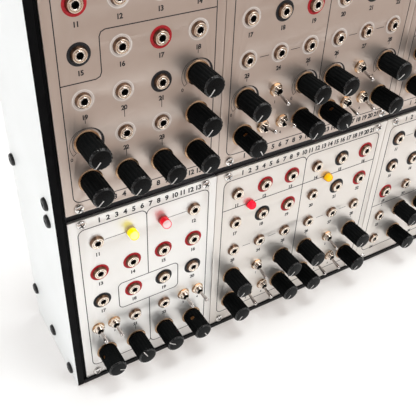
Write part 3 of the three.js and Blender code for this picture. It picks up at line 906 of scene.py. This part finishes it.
# %% [markdown]
# ## Printing
# The fronts are silk-screened: a frame, fields for each section, rings round the sockets, thin links
# between what belongs together, and crescents round some controls. Ink has a real thickness, so
# each line is a flat bar a few hundredths of a millimetre proud of the metal. Plain numbers mark the
# units along a front, the sockets, the switches and the ends of a control's travel.

# %% Ink as thin bars
INK_LIFT, INK_SINK = 0.04, 0.05
LINE, THIN_LINE, DIAL_LINE = 0.5, 0.32, 0.24
RING_OUTER, RING_INNER, RIM_OUTER, RIM_INNER = 5.7, 3.6, 5.5, 5.15
BLACK_PRINT, RED_PRINT, WHITE_PRINT, PINK_PRINT = 0, 1, 2, 3
DIAL_RADIUS, DIAL_END, ARC_STEPS = 7.5, 128, 28
FRAME_INSET = UNIT


def ink_bar(bm, path, line_width, closed=False):
    """A flat bar of ink along points in mm on the front, mitred at its corners."""
    points = [Vector(p) for p in path]
    count = len(points)
    rings = []
    for index, point in enumerate(points):
        before = points[index - 1] if index or closed else point
        after = points[(index + 1) % count] if index + 1 < count or closed else point
        one = (point - before).normalized() if point != before else (after - point).normalized()
        two = (after - point).normalized() if after != point else one
        along = (one + two).normalized()
        across = Vector((-along.y, along.x)) * (line_width / 2) / max(0.5, along.dot(one))
        left, right = point + across, point - across
        corners = (left, -INK_LIFT), (right, -INK_LIFT), (right, INK_SINK), (left, INK_SINK)
        rings.append([bm.verts.new((p.x * MM, depth * MM, p.y * MM)) for p, depth in corners])
    tube(bm, list(zip(rings, rings[1:])) + ([(rings[-1], rings[0])] if closed else []), BLACK_PRINT)
    if not closed:
        bm.faces.new(rings[0]).material_index = BLACK_PRINT
        bm.faces.new(rings[-1]).material_index = BLACK_PRINT


def ink_ring(bm, x, z, inner, outer, finish):
    section = [(inner, -INK_LIFT), (outer, -INK_LIFT), (outer, INK_SINK), (inner, INK_SINK)]
    lathe(bm, section, 40, finish, (x, z), True)


def arc(x, z, end, base, growth=0.0):
    """Points clockwise from the top to the end in degrees. The radius may grow along the way."""
    points = []
    for step in range(ARC_STEPS + 1):
        share = step / ARC_STEPS
        angle, radius = radians(end * share), base + growth * share
        points.append((x + radius * sin(angle), z + radius * cos(angle)))
    return points


def crescent(bm, x, z, end, filled):
    """Dial mark that widens from nothing at the top to its end, filled or drawn as an outline."""
    inner = arc(x, z, end, DIAL_RADIUS)
    outer = arc(x, z, end, DIAL_RADIUS + 0.15, 1.9)
    if not filled:
        ink_bar(bm, inner, DIAL_LINE)
        ink_bar(bm, outer, DIAL_LINE)
        ink_bar(bm, [inner[-1], outer[-1]], DIAL_LINE)
        return
    walls = []
    for path in (inner, outer):
        for depth in (-INK_LIFT, INK_SINK):
            walls.append([bm.verts.new((px * MM, depth * MM, pz * MM)) for px, pz in path])
    inner_top, inner_low, outer_top, outer_low = walls
    around = [inner_top, outer_top, outer_low, inner_low]
    for i in range(len(inner) - 1):
        for a, b in zip(around, around[1:] + around[:1]):
            bm.faces.new((a[i], b[i], b[i + 1], a[i + 1]))
    for i in (0, -1):
        bm.faces.new([line[i] for line in around])


@cache
def numeral_mesh(text, height, weight):
    """Plain numbers from Blender's own font, as a thin solid."""
    curve = bpy.data.curves.new("numeral", "FONT")
    curve.body = text
    curve.size = height * MM / 0.7
    curve.align_x, curve.align_y = "CENTER", "CENTER"
    curve.extrude = (INK_LIFT + INK_SINK) / 2 * MM
    curve.offset = weight * MM
    curve.resolution_u = 3
    curve.space_character = 0.88
    holder = linked("numeral", curve)
    mesh = evaluated(holder)
    bpy.data.objects.remove(holder)
    middle = Matrix.Translation((0, (INK_SINK - INK_LIFT) / 2 * MM, 0))
    mesh.transform(middle @ Matrix.Rotation(pi / 2, 4, "X"))
    return mesh


def number(bm, text, x, z, height=2.4, weight=0.13):
    first = len(bm.verts)
    bm.from_mesh(numeral_mesh(str(text), height, weight))
    bm.verts.ensure_lookup_table()
    bmesh.ops.translate(bm, vec=Vector((x, 0, z)) * MM, verts=bm.verts[first:])


# %% [markdown]
# ### What is printed on which front
# The lower fronts have their strip of numbers above the frame, the upper ones below it. The links
# and fields follow the circuit that a front carries, so they differ from front to front.

# %% Frames, fields and links
STRIP, PLAIN_STRIP = 7.0, 9.2
CORNER, CORNER_STEPS = 4.0, 5
FIELD_LOW, FIELD_HIGH = 51.5, 72.2
DIVIDED = {"lower_left": 9 * UNIT, "lower_middle": 13 * UNIT, "upper_middle": 13 * UNIT}
STRIP_NUMBER, SWITCH_NUMBER, DIAL_NUMBER = (3.1, 0.17), (1.8, 0.05), (1.9, 0.05)


def frame_of(module):
    """Left, bottom, right and top of the printed frame."""
    below, above = (PLAIN_STRIP, STRIP) if module.startswith("lower") else (STRIP, PLAIN_STRIP)
    return FRAME_INSET, below, width(module) - FRAME_INSET, FRONT_HEIGHT - above


def open_box(x0, z0, x1, z1, first_corner):
    """A round-cornered box left open along the side before its first corner."""
    path = rounded_box_path(x0, z0, x1, z1, CORNER, CORNER_STEPS)
    start = first_corner * (CORNER_STEPS + 1)
    return path[start:] + path[:start]


def print_frame(bm, module):
    """One frame, or two halves whose round corners run into the line between them."""
    x0, z0, x1, z1 = frame_of(module)
    if module in DIVIDED:
        ink_bar(bm, open_box(x0, z0, DIVIDED[module], z1, 1), LINE)
        ink_bar(bm, open_box(DIVIDED[module], z0, x1, z1, 3), LINE)
    else:
        ink_bar(bm, rounded_box_path(x0, z0, x1, z1, CORNER), LINE, closed=True)
    strip_height = FRONT_HEIGHT - STRIP / 2 - 0.3 if module.startswith("lower") else STRIP / 2 + 0.1
    for unit in range(3, units(module) - 2):
        number(bm, unit - 2, (unit + 0.5) * UNIT, strip_height, *STRIP_NUMBER)


def link(bm, r, c, gap=7.2, far_gap=7.2):
    """A thin line between two neighbours in a row."""
    ink_bar(bm, [(column(c) + gap, row(r)), (column(c + 1) - far_gap, row(r))], THIN_LINE)


def drop(bm, above, below, *rows_and_columns):
    """Short upright dashes from a control to the one under it."""
    for r, c in rows_and_columns:
        ink_bar(bm, [(column(c), row(r) - above), (column(c), row(r + 1) + below)], THIN_LINE)


def dial(bm, r, c):
    crescent(bm, column(c), row(r), DIAL_END, filled=True)
    crescent(bm, column(c), row(r), -DIAL_END, filled=False)
    number(bm, 0, column(c) - 8.6, row(r) - 8.0, *DIAL_NUMBER)
    number(bm, 10, column(c) + 8.8, row(r) - 8.0, *DIAL_NUMBER)


def print_circuit(bm, module):
    """The fields, links and dials that differ from front to front."""
    x0, z0, x1, z1 = frame_of(module)
    middle = DIVIDED.get(module)
    if module == "lower_left":
        ink_bar(bm, [(middle, z1 - CORNER), (middle, FIELD_HIGH)], LINE)
        ink_bar(bm, [(middle, FIELD_LOW), (middle, z0 + CORNER)], LINE)
        ink_bar(bm, rounded_box_path(25.8, FIELD_LOW, 65.8, FIELD_HIGH, 3.0), LINE, closed=True)
        link(bm, 0, 0, 4.8, 3.2)
        link(bm, 0, 2, 3.2, 4.8)
        drop(bm, 10.2, 8.6, (3, 1), (3, 2))
    elif "middle" in module:
        ink_bar(bm, [(middle, z1 - CORNER), (middle, z0 + CORNER)], LINE)
        ink_bar(bm, [(x0, 99.5), (x1, 99.5)], LINE)
        for c in (0, 1, 3, 4):
            link(bm, 2, c)
        drop(bm, 8.6, 10.4, (2, 0), (2, 2), (2, 3), (2, 5))
        if module == "upper_middle":
            for c in (0, 2, 3, 5):
                dial(bm, 3, c)
    elif module == "upper_left":
        ink_bar(bm, [(x1, 96.5), (28.3, 96.5), (26.2, 95.6), (25.3, 93.5), (25.3, 76.5), (24.4, 74.4),
                     (22.3, 73.5), (x0, 73.5)], LINE)
        drop(bm, 8.6, 8.6, (2, 1), (2, 2), (3, 1), (3, 2))
        drop(bm, 8.6, 10.4, (1, 3), (2, 0))
        dial(bm, 3, 0)
        dial(bm, 2, 3)
    else:
        ink_bar(bm, [(x0, 53.0), (x1, 53.0)], LINE)
        drop(bm, 8.6, 8.6, (2, 0))
        link(bm, 0, 0)
        link(bm, 0, 2)


# %% The printing of every front
RINGS = {"r": RED_PRINT, "k": BLACK_PRINT}
INKS = [BLACK_INK, RED_INK, WHITE_INK, PINK_INK]
for module in MODULES:
    bm = bmesh.new()
    print_frame(bm, module)
    print_circuit(bm, module)
    for index, (x, z, letter) in enumerate(letters(module, "ork")):
        if letter in RINGS:
            ink_ring(bm, x, z, RING_INNER, RING_OUTER, RINGS[letter])
        elif module.startswith("upper"):
            ink_ring(bm, x, z, RING_INNER, RIM_INNER, PINK_PRINT)
            ink_ring(bm, x, z, RIM_INNER, RIM_OUTER, WHITE_PRINT)
        number(bm, index + 11, x, z - 9.2)
    for index, (_, x, z) in enumerate(jointed(module, "toggle")):
        number(bm, index + 1, x, z - 8.0, *SWITCH_NUMBER)
    bmesh.ops.transform(bm, matrix=on_front(module, 0, 0), verts=bm.verts)
    mesh = to_mesh(bm, module + "_printing", INKS)
    piece(module + "_printing", mesh)
    print(module, "printing faces:", len(mesh.polygons))

# %% [markdown]
# ## Side cheeks
# Each cheek is a 4 mm board: white laminate on both faces, a dark pressed core that shows along its
# edges. It is one plate with two finishes. The faces whose normal points sideways are the laminate,
# all the others are the core.

# %% Cheek boards and their screws
CHEEK_SCREWS = [(10.5, 3.0), (10.5, 126.0), (10.5, 137.6), (10.5, 258.85), (67.0, 24.6), (67.0, 131.0),
                (38.5, 11.1), (38.5, 250.8), (67.0, 237.0)]
RACK_ZERO = Vector((0, FRONT_PLANE, corner("lower_left").z))

for side, name in ((-1, "left_cheek"), (1, "right_cheek")):
    low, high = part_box(name)
    deep, tall = (high.y - low.y) / MM, (high.z - low.z) / MM
    mesh = plate(name + "_board", [rounded_box_path(0, 0, deep, tall, 1.5, 4)], (high.x - low.x) / MM,
                 [LAMINATE, CORE], 0.3)
    mesh.transform(Matrix.Translation(((low.x + high.x) / 2, low.y, low.z)) @ Matrix.Rotation(pi / 2, 4, "Z"))
    for face in mesh.polygons:
        face.material_index = 0 if abs(face.normal.x) > 0.95 else 1
    made = piece(name + "_board", mesh)
    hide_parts(name)
    outer = low.x if side < 0 else high.x
    places = []
    for index, (y, z) in enumerate(CHEEK_SCREWS):
        place = Vector((outer, RACK_ZERO.y + y * MM, RACK_ZERO.z + z * MM))
        turn = Matrix.Rotation(radians(-90 if side < 0 else 90), 4, "Z")
        places.append(Matrix.Translation(place) @ turn @ Matrix.Rotation(radians(17 * index), 4, "Y"))
    gathered(name + "_screws", socket_screw, places)
print("cheek in mm:", round(deep, 1), "by", round(tall, 1))

# %% [markdown]
# ## The folded case
# The case is one black powder-coated sheet: bottom, back and top folded in a U, with a narrow lip at
# each front edge, and flanges at the sides for the cheek screws. A folded sheet has round bends, so
# its outline is drawn as a path with rounded corners, given its thickness and pulled along X.

# %% Case sheet
SHEET = 1.5
BEND = 1.4


def bent(points, radius, steps=5):
    """A path through points in mm with its inner corners rounded."""
    path = [Vector(points[0])]
    for before, here, after in zip(points, points[1:], points[2:]):
        a = (Vector(before) - Vector(here)).normalized()
        b = (Vector(after) - Vector(here)).normalized()
        centre = Vector(here) + (a + b) * radius
        start, end = Vector(here) + a * radius - centre, Vector(here) + b * radius - centre
        for step in range(steps + 1):
            share = step / steps
            path.append(centre + (start * cos(share * pi / 2) + end * sin(share * pi / 2)))
    path.append(Vector(points[-1]))
    return path


def folded(bm, path, thickness, x0, x1):
    """Sheet along a path in (depth, height) mm, thick to its left side, from x0 to x1."""
    last = len(path) - 1
    inner = []
    for index, point in enumerate(path):
        along = (path[min(last, index + 1)] - path[max(0, index - 1)]).normalized()
        inner.append(point + Vector((-along.y, along.x)) * thickness)
    lines = []
    for x in (x0, x1):
        for line in (path, inner):
            lines.append([bm.verts.new((x * MM, p.x * MM, p.y * MM)) for p in line])
    outer0, inner0, outer1, inner1 = lines
    for i in range(last):
        k = i + 1
        bm.faces.new((outer0[i], outer0[k], outer1[k], outer1[i]))
        bm.faces.new((inner0[i], inner1[i], inner1[k], inner0[k]))
        bm.faces.new((outer0[i], inner0[i], inner0[k], outer0[k]))
        bm.faces.new((outer1[i], outer1[k], inner1[k], inner1[i]))
    for i in (0, -1):
        bm.faces.new((outer0[i], outer1[i], inner1[i], inner0[i]))


shell_low, shell_high = (corner_point / MM for corner_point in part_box("case_shell"))
LIP_LOW = corner("lower_left").z / MM - 0.3
LIP_HIGH = corner("upper_left").z / MM + FRONT_HEIGHT + 0.3
INLET_X, INLET_Z = shell_high.x - 36, shell_low.z + 36
outline = [(shell_low.y, LIP_LOW), (shell_low.y, shell_low.z), (shell_high.y, shell_low.z),
           (shell_high.y, shell_high.z), (shell_low.y, shell_high.z), (shell_low.y, LIP_HIGH)]
bm = bmesh.new()
folded(bm, bent(outline, BEND), SHEET, shell_low.x, shell_high.x)
sheet_mesh = to_mesh(bm, "folded_sheet", [POWDER], 40)
hole = bmesh.new()
lathe(hole, [(0, -5), (5.6, -5), (5.6, 5), (0, 5)], 36, 0, (INLET_X, INLET_Z))
bmesh.ops.translate(hole, vec=(0, shell_high.y * MM, 0), verts=hole.verts)
drilled_sheet = cut(sheet_mesh, to_mesh(hole, "inlet_hole", [POWDER]))
bm = bmesh.new()
for edge_x, inward in ((shell_low.x, 1), (shell_high.x, -1)):
    flange = [edge_x, edge_x + inward * SHEET]
    brick(bm, (min(flange), shell_high.y - 27, shell_low.z + 1.2),
          (max(flange), shell_high.y - 1.2, shell_high.z - 1.2), rounded_by=0.3)
bm.from_mesh(drilled_sheet)
case_mesh = to_mesh(bm, "folded_case", [POWDER], 40)
made = piece("folded_case", case_mesh)
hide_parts("case_shell")
print("case in mm:", [round(v, 1) for v in shell_high - shell_low], "faces:", len(case_mesh.polygons))

# %% [markdown]
# ## Shade strips in the side gaps
# Between each cheek and the fronts runs a gap of 2.3 mm, and light would fall through it on the
# boards. The gap lies in shade and looks black from the front, so a thin black strip closes it from
# lip to lip: painted shade.

# %% Shade strips in the side gaps
bm = bmesh.new()
for side, name in ((1, "left_cheek"), (-1, "right_cheek")):
    low, high = (corner_point / MM for corner_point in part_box(name))
    inner = high.x if side > 0 else low.x
    near, far = sorted((inner + side * 0.05, inner + side * 1.95))
    front = FRONT_PLANE / MM
    brick(bm, (near, front + 0.3, LIP_LOW), (far, front + 2.2, LIP_HIGH), rounded_by=0.2)
piece("gap_shade_strips", to_mesh(bm, "gap_shade_strips", [GAP_SHADE_BLACK]))
print("trim width in mm:", round(far - near, 2))

# %% [markdown]
# ## Rails
# The extruded rails are right as the solids have them, so they stay. Welding their split corners and
# a tenth of a millimetre of bevel catches the light along the edges without moving anything.

# %% Rail finish and edges
RAILS = ("lower_rail", "middle_rail", "upper_rail")
for name in RAILS:
    rail = frame["nodes"][name]
    rail.data.materials.clear()
    rail.data.materials.append(RAIL_BLACK)
    weld = rail.modifiers.new("weld", "WELD")
    weld.merge_threshold = 0.002 * MM
    bevel = rail.modifiers.new("bevel", "BEVEL")
    bevel.width, bevel.segments, bevel.limit_method, bevel.angle_limit = 0.12 * MM, 2, "ANGLE", radians(50)
print("rails dressed:", len(RAILS))

# %% [markdown]
# ## Inside: boards and power
# Behind each front a circuit board carries the chips, and a distribution board on the back of the
# case feeds them all. They are hidden when the case is shut, so they are plain but whole: boards,
# rows of chips, capacitors, headers and standoffs, and a round inlet that shows at the back.

# %% Boards
BOARD_FRONT, BOARD_THICKNESS = 11.0, 1.6
BOARD_SIDE, BOARD_END = 1.2, 11
PIN_STEP = 2.54
CHIP_WIDTH, CHIP_STEP, CHIP_ROW = 6.4, 15, 20


def circuit_board(module):
    bm = bmesh.new()
    right, back = width(module) - BOARD_SIDE, BOARD_FRONT + BOARD_THICKNESS
    brick(bm, (BOARD_SIDE, BOARD_FRONT, BOARD_END), (right, back, FRONT_HEIGHT - BOARD_END), 0, 0.2, 1)
    capacitor = [(0, back + 8), (2.2, back + 8), (2.5, back + 7.7), (2.5, back - 0.1), (0, back - 0.1)]
    across = int((right - 12) // CHIP_STEP)
    for i in range(across):
        x = 9 + i * CHIP_STEP
        for k in range(5):
            z = 20 + k * CHIP_ROW
            brick(bm, (x, back, z), (x + CHIP_WIDTH, back + 3.2, z + 9.8), 1, 0.35, 1)
            for pin in range(4):
                low, high = z + 0.9 + pin * PIN_STEP, z + 1.4 + pin * PIN_STEP
                for px in (x - 0.5, x + CHIP_WIDTH):
                    brick(bm, (px, back - 0.1, low), (px + 0.5, back + 1.6, high), 2)
        lathe(bm, capacitor, 20, 3, (x + 11, 25 + (i % 4) * CHIP_ROW))
    brick(bm, (right / 2 - 11, back, 62), (right / 2 + 11, back + 8.5, 70.5), 1, 0.3, 1)
    mesh = to_mesh(bm, module + "_circuit_board", [BOARD_GREEN, CHIP, TIN, CAPACITOR])
    mesh.transform(on_front(module, 0, 0))
    piece(module + "_circuit_board", mesh)


for module in MODULES:
    circuit_board(module)

# %% Power board and inlet
HEADERS, HEADER_STEP = 6, 37


def power_board():
    bm = bmesh.new()
    inner_back = shell_high.y - SHEET
    middle_z = (shell_low.z + shell_high.z) / 2
    board_back = inner_back - 6
    brick(bm, (-110, board_back - 1.6, middle_z - 30), (110, board_back, middle_z + 30), 0, 0.2, 1)
    for x in (-104, 104):
        for z in (middle_z - 24, middle_z + 24):
            lathe(bm, [(0, board_back), (2.5, board_back), (2.5, inner_back), (0, inner_back)], 6, 2, (x, z))
    for index in range(HEADERS):
        x = (index - (HEADERS - 1) / 2) * HEADER_STEP
        brick(bm, (x - 11, board_back - 10.6, middle_z - 4.5),
              (x + 11, board_back - 1.6, middle_z + 4.5), 1, 0.4, 1)
        for pin in range(8):
            px = x - 8.9 + pin * PIN_STEP
            for z in (-PIN_STEP / 2, PIN_STEP / 2):
                brick(bm, (px - 0.3, board_back - 11.8, middle_z + z - 0.3),
                      (px + 0.3, board_back - 10, middle_z + z + 0.3), 2)
    piece("power_board", to_mesh(bm, "power_board", [BOARD_GREEN, CHIP, TIN]))


def power_inlet():
    bm = bmesh.new()
    face = shell_high.y
    barrel = [(0, face - 9.5), (2.9, face - 9.5), (2.9, face - 0.4), (3.2, face - 0.05), (6.2, face - 0.05),
              (6.3, face - 0.2), (6.3, face - 1.6), (5.4, face - 1.6), (5.4, face - 11), (0, face - 11)]
    pin = [(0, face - 9.8), (1.0, face - 9.8), (1.0, face - 1.8), (0.7, face - 1.5), (0, face - 1.5)]
    lathe(bm, barrel, 36, 0, (INLET_X, INLET_Z))
    lathe(bm, pin, 16, 1, (INLET_X, INLET_Z))
    piece("power_inlet", to_mesh(bm, "power_inlet", [SHADE_PLASTIC, TIN]))


power_board()
power_inlet()

# %% [markdown]
# ## Table and light
# The photograph is high key: a white table that runs out of sight, and broad soft light. The table
# is a real plane that takes shadows. What the camera and the metal see of it and of the room is
# lifted with light path nodes, so the picture is white without extra light on the instrument. Metal
# looks like metal only if it has something dark to mirror. Photographers hang dark cards for that.
# Here a brown ceiling card and a warm grey card far in front are seen by reflections alone.

# %% Floor
def seen_directly(nodes, links, low, high):
    """low for rays that carry light, high for what the camera, mirrors and clear plastic see."""
    path = nodes.new("ShaderNodeLightPath")
    value = path.outputs["Is Camera Ray"]
    for kind in ("Is Glossy Ray", "Is Transmission Ray"):
        value = joined_values(nodes, links, "MAXIMUM", value, path.outputs[kind])
    return mapped(nodes, links, value, 0.0, 1.0, low, high)


def pale_table():
    material, nodes, links, surface = new_nodes("pale_table")
    nodes.remove(surface)
    # The diffuse part is bluish and the glow warm, so the lit table comes out neutral and its shadows warm: a
    # painted tint of shade.
    diffuse = added(nodes, links, "BsdfDiffuse", {"Color": (0.90, 0.955, 0.985, 1)})
    glow = added(nodes, links, "Emission", {"Color": (1.0, 0.86, 0.78, 1), "Strength": 1.28})
    shares = {"Fac": seen_directly(nodes, links, 0.0, 0.26), 1: diffuse, 2: glow}
    mix = added(nodes, links, "MixShader", shares)
    links.new(mix, nodes["Material Output"].inputs["Surface"])
    return material


def flat_sheet(name, x0, y0, x1, y1, z, material):
    bm = bmesh.new()
    corners = [bm.verts.new(p) for p in ((x0, y0, z), (x1, y0, z), (x1, y1, z), (x0, y1, z))]
    bm.faces.new(corners)
    mesh = bpy.data.meshes.new(name)
    bm.to_mesh(mesh)
    bm.free()
    mesh.materials.append(material)
    made = linked(name, mesh)
    return made


def card(name, x0, y0, x1, y1, z, colour):
    """A glowing sheet that only reflections see."""
    material, nodes, links, surface = new_nodes(name)
    nodes.remove(surface)
    glow = added(nodes, links, "Emission", {"Color": (*colour, 1)})
    links.new(glow, nodes["Material Output"].inputs["Surface"])
    made = flat_sheet(name, x0, y0, x1, y1, z, material)
    made.visible_camera = made.visible_diffuse = made.visible_shadow = made.visible_transmission = False


flat_sheet("table", -3, -3, 3, 3, 0, pale_table())
card("room_in_front", -2.5, -2.8, 2.5, -0.26, 0.002, (0.52, 0.41, 0.35))
card("dark_ceiling", -4, -4, 4, 4, 1.9, (0.075, 0.052, 0.044))
print("stage set")

# %% Lamps and world
def soft_light(name, place, target, size, watts, colour):
    data = bpy.data.lights.new(name, "AREA")
    data.shape = "RECTANGLE"
    data.size, data.size_y = size
    data.energy = watts
    data.color = colour
    made = linked(name, data)
    made.location = place
    made.rotation_mode = "QUATERNION"
    made.rotation_quaternion = (Vector(target) - Vector(place)).to_track_quat("-Z", "Y")


soft_light("window_left", (-1.5, 0.2, 0.9), (0, 0, 0.1), (1.0, 0.8), 9.6, (1.0, 0.99, 0.98))
soft_light("window_above", (0.12, -0.04, 1.5), (0, 0, 0), (0.5, 0.5), 14.5, (1.0, 0.985, 0.96))
soft_light("window_right", (0.66, -0.98, 1.02), (0, 0, 0.1), (0.8, 0.8), 7, (1.0, 0.98, 0.96))

world = bpy.data.worlds.new("bright_room")
bpy.context.scene.world = world
world.use_nodes = True
world_nodes, world_links = world.node_tree.nodes, world.node_tree.links
background = world_nodes["Background"]
background.inputs["Color"].default_value = (1.0, 0.985, 0.97, 1)
strength = seen_directly(world_nodes, world_links, 0.42, 0.85)
world_links.new(strength, background.inputs["Strength"])
bpy.context.scene.view_settings.view_transform = "Standard"
print("lights:", len(bpy.data.lights))
